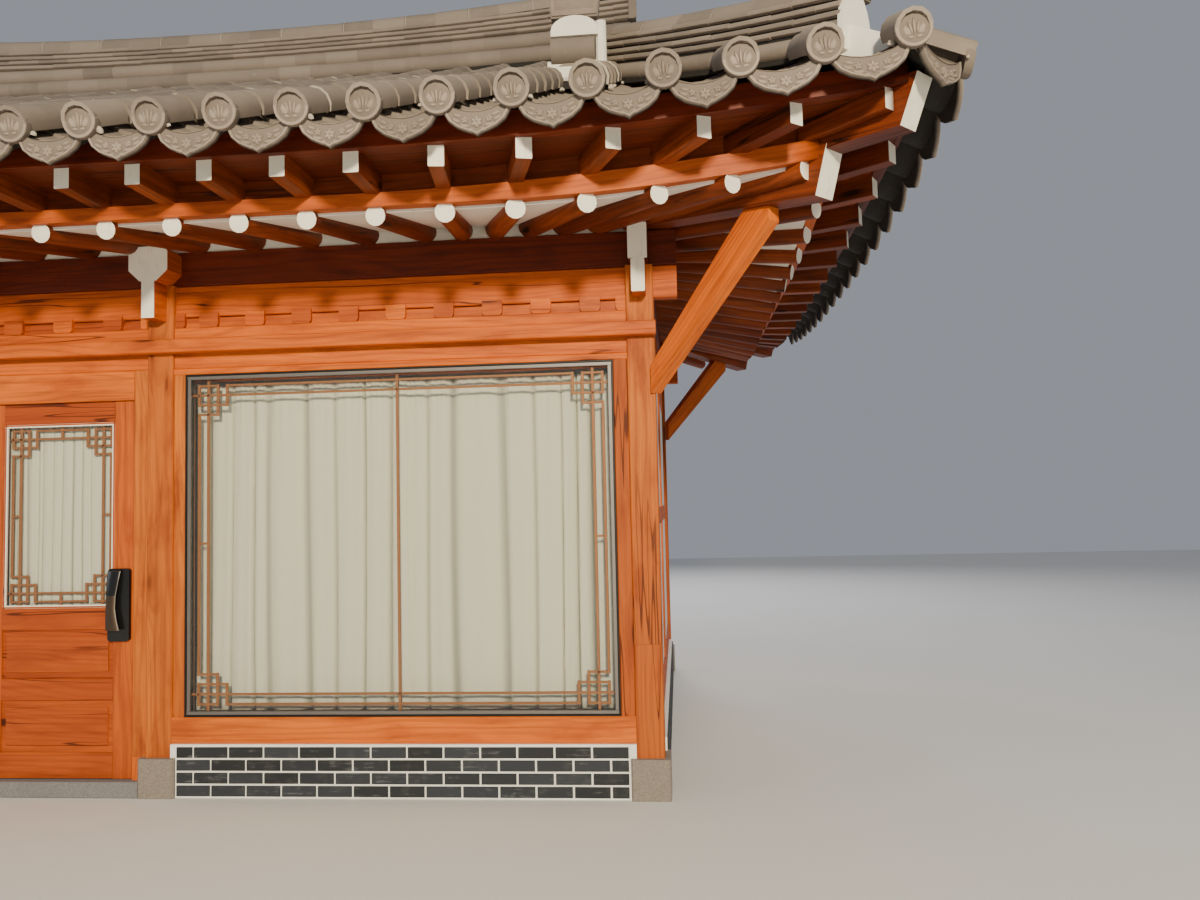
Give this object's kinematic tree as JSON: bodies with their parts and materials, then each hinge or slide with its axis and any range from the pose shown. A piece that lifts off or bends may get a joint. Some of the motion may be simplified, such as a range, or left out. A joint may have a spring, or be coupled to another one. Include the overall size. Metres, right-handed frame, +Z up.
{
  "type": "traditional timber house",
  "caption": "Small Korean timber house: square pine posts on a stone and brick base, wide windows, a hinged glazed door and a curved tiled hip-and-gable roof on round rafters.",
  "frame": {"origin": "on the ground under the middle of the plan", "axes": "+X along the front from the left bay to the right bay, +Y from the front to the rear, +Z up; the door and the windows face -Y"},
  "size_m": [9.466, 6.436, 5.6834],
  "materials": {
    "pine": "oiled pine with dark grain and knots",
    "dark_pine": "darker red-brown stained pine",
    "plaster": "matt white lime plaster",
    "granite": "rough cut granite",
    "brick": "charcoal brick with white joints",
    "tile": "unglazed grey-brown roof tile",
    "black_metal": "satin black",
    "bronze": "brushed bronze-grey",
    "glass": "clear",
    "curtain": "white pleated cloth"
  },
  "bodies": {
    "house": {"beam_left": "pine", "beam_right": "pine", "brace_front_left": "pine", "brace_front_right": "pine", "brace_rear_left": "pine", "brace_rear_right": "pine", "bracket_ring": "pine", "curtain_left": "curtain", "curtain_right": "curtain", "door_surround": "pine", "front_plinth_left": "brick", "front_plinth_right": "brick", "front_rafters": "dark_pine", "front_rail": "pine", "front_roof": "tile", "gable_left": "plaster", "gable_right": "plaster", "hip_rafter_front_left": "dark_pine", "hip_rafter_front_right": "dark_pine", "hip_rafter_rear_left": "dark_pine", "hip_rafter_rear_right": "dark_pine", "left_plinth": "brick", "left_rafters": "dark_pine", "left_roof": "tile", "left_wall": "plaster", "lintel_ring": "pine", "main_ridge": "tile", "post_front_1": "pine", "post_front_2": "pine", "post_front_3": "pine", "post_front_4": "pine", "post_rear_1": "pine", "post_rear_2": "pine", "post_rear_3": "pine", "post_rear_4": "pine", "purlin_ring": "pine", "rear_plinth": "brick", "rear_rafters": "dark_pine", "rear_roof": "tile", "rear_wall": "plaster", "rear_window_left": "black_metal", "rear_window_right": "black_metal", "ridge_front_left": "tile", "ridge_front_right": "tile", "ridge_rear_left": "tile", "ridge_rear_right": "tile", "right_plinth": "brick", "right_rafters": "dark_pine", "right_roof": "tile", "right_wall": "plaster", "stone_base": "granite", "window_left": "black_metal", "window_right": "black_metal", "window_surround_left": "pine", "window_surround_right": "pine"},
    "door": {"door_leaf": "dark_pine", "door_glass": "glass", "door_curtain": "curtain", "door_lock": "black_metal"},
    "handle": {"door_handle": "bronze"}
  },
  "joints": [
    {"name": "door_hinge", "type": "hinge", "parent": "house", "child": "door", "pos_m": [-0.457, -1.868, 1.15], "axis": [0, 0, -1], "range_deg": [0, 95]},
    {"name": "handle_pull", "type": "hinge", "parent": "door", "child": "handle", "pos_m": [0.3475, -1.897, 1.248], "axis": [-1, 0, 0], "range_deg": [0, 6], "stiffness_Nm_per_rad": 2}
  ]
}
